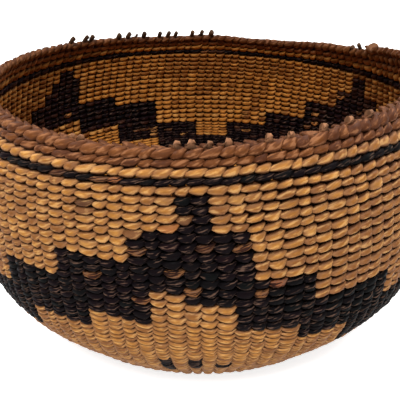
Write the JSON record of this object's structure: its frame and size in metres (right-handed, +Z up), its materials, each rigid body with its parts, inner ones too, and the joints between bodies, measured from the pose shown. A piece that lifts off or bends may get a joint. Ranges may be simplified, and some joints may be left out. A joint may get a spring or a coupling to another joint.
{
  "type": "twined bowl basket",
  "caption": "Round twined bowl basket with a drawn-in rim, a stepped dark band, a dark stripe under the brown rim and untrimmed warp ends.",
  "frame": {"origin": "centre of the flat base, on the surface that the basket stands on", "axes": "+Z up out of the mouth; the pictured front, below one of the three peaks of the band, faces -Y; +X to the right of it"},
  "size_m": [0.145, 0.145, 0.0799],
  "materials": {
    "tan_weft": "dry twisted plant fibre, golden tan, satin",
    "brown_weft": "dry twisted plant fibre, reddish brown, satin",
    "dark_weft": "dry twisted plant fibre, near black with a purple-brown cast, satin",
    "warp": "dry plant stalk, dark brown, matt"
  },
  "bodies": {
    "root": {"rim_course_outer": "brown_weft", "brown_course_outer": "brown_weft", "tan_course_outer": "tan_weft", "dark_stripe_outer": "dark_weft", "upper_field_outer": "tan_weft", "dark_band_outer": "dark_weft", "lower_field_outer": "tan_weft", "base_wefts_outer": "tan_weft", "start_wefts_outer": "tan_weft", "rim_course_inner": "brown_weft", "brown_course_inner": "brown_weft", "tan_course_inner": "tan_weft", "dark_stripe_inner": "dark_weft", "upper_field_inner": "tan_weft", "dark_band_inner": "dark_weft", "lower_field_inner": "tan_weft", "base_wefts_inner": "tan_weft", "start_wefts_inner": "tan_weft", "check_patch_1": "dark_weft", "check_patch_2": "dark_weft", "check_patch_3": "dark_weft", "warp_bundle_01": "warp", "warp_bundle_02": "warp", "warp_bundle_03": "warp", "warp_bundle_04": "warp", "warp_bundle_05": "warp", "warp_bundle_06": "warp", "warp_bundle_07": "warp", "warp_bundle_08": "warp", "warp_bundle_09": "warp", "warp_bundle_10": "warp", "warp_bundle_11": "warp", "warp_bundle_12": "warp", "warp_cross": "warp"}
  },
  "joints": []
}
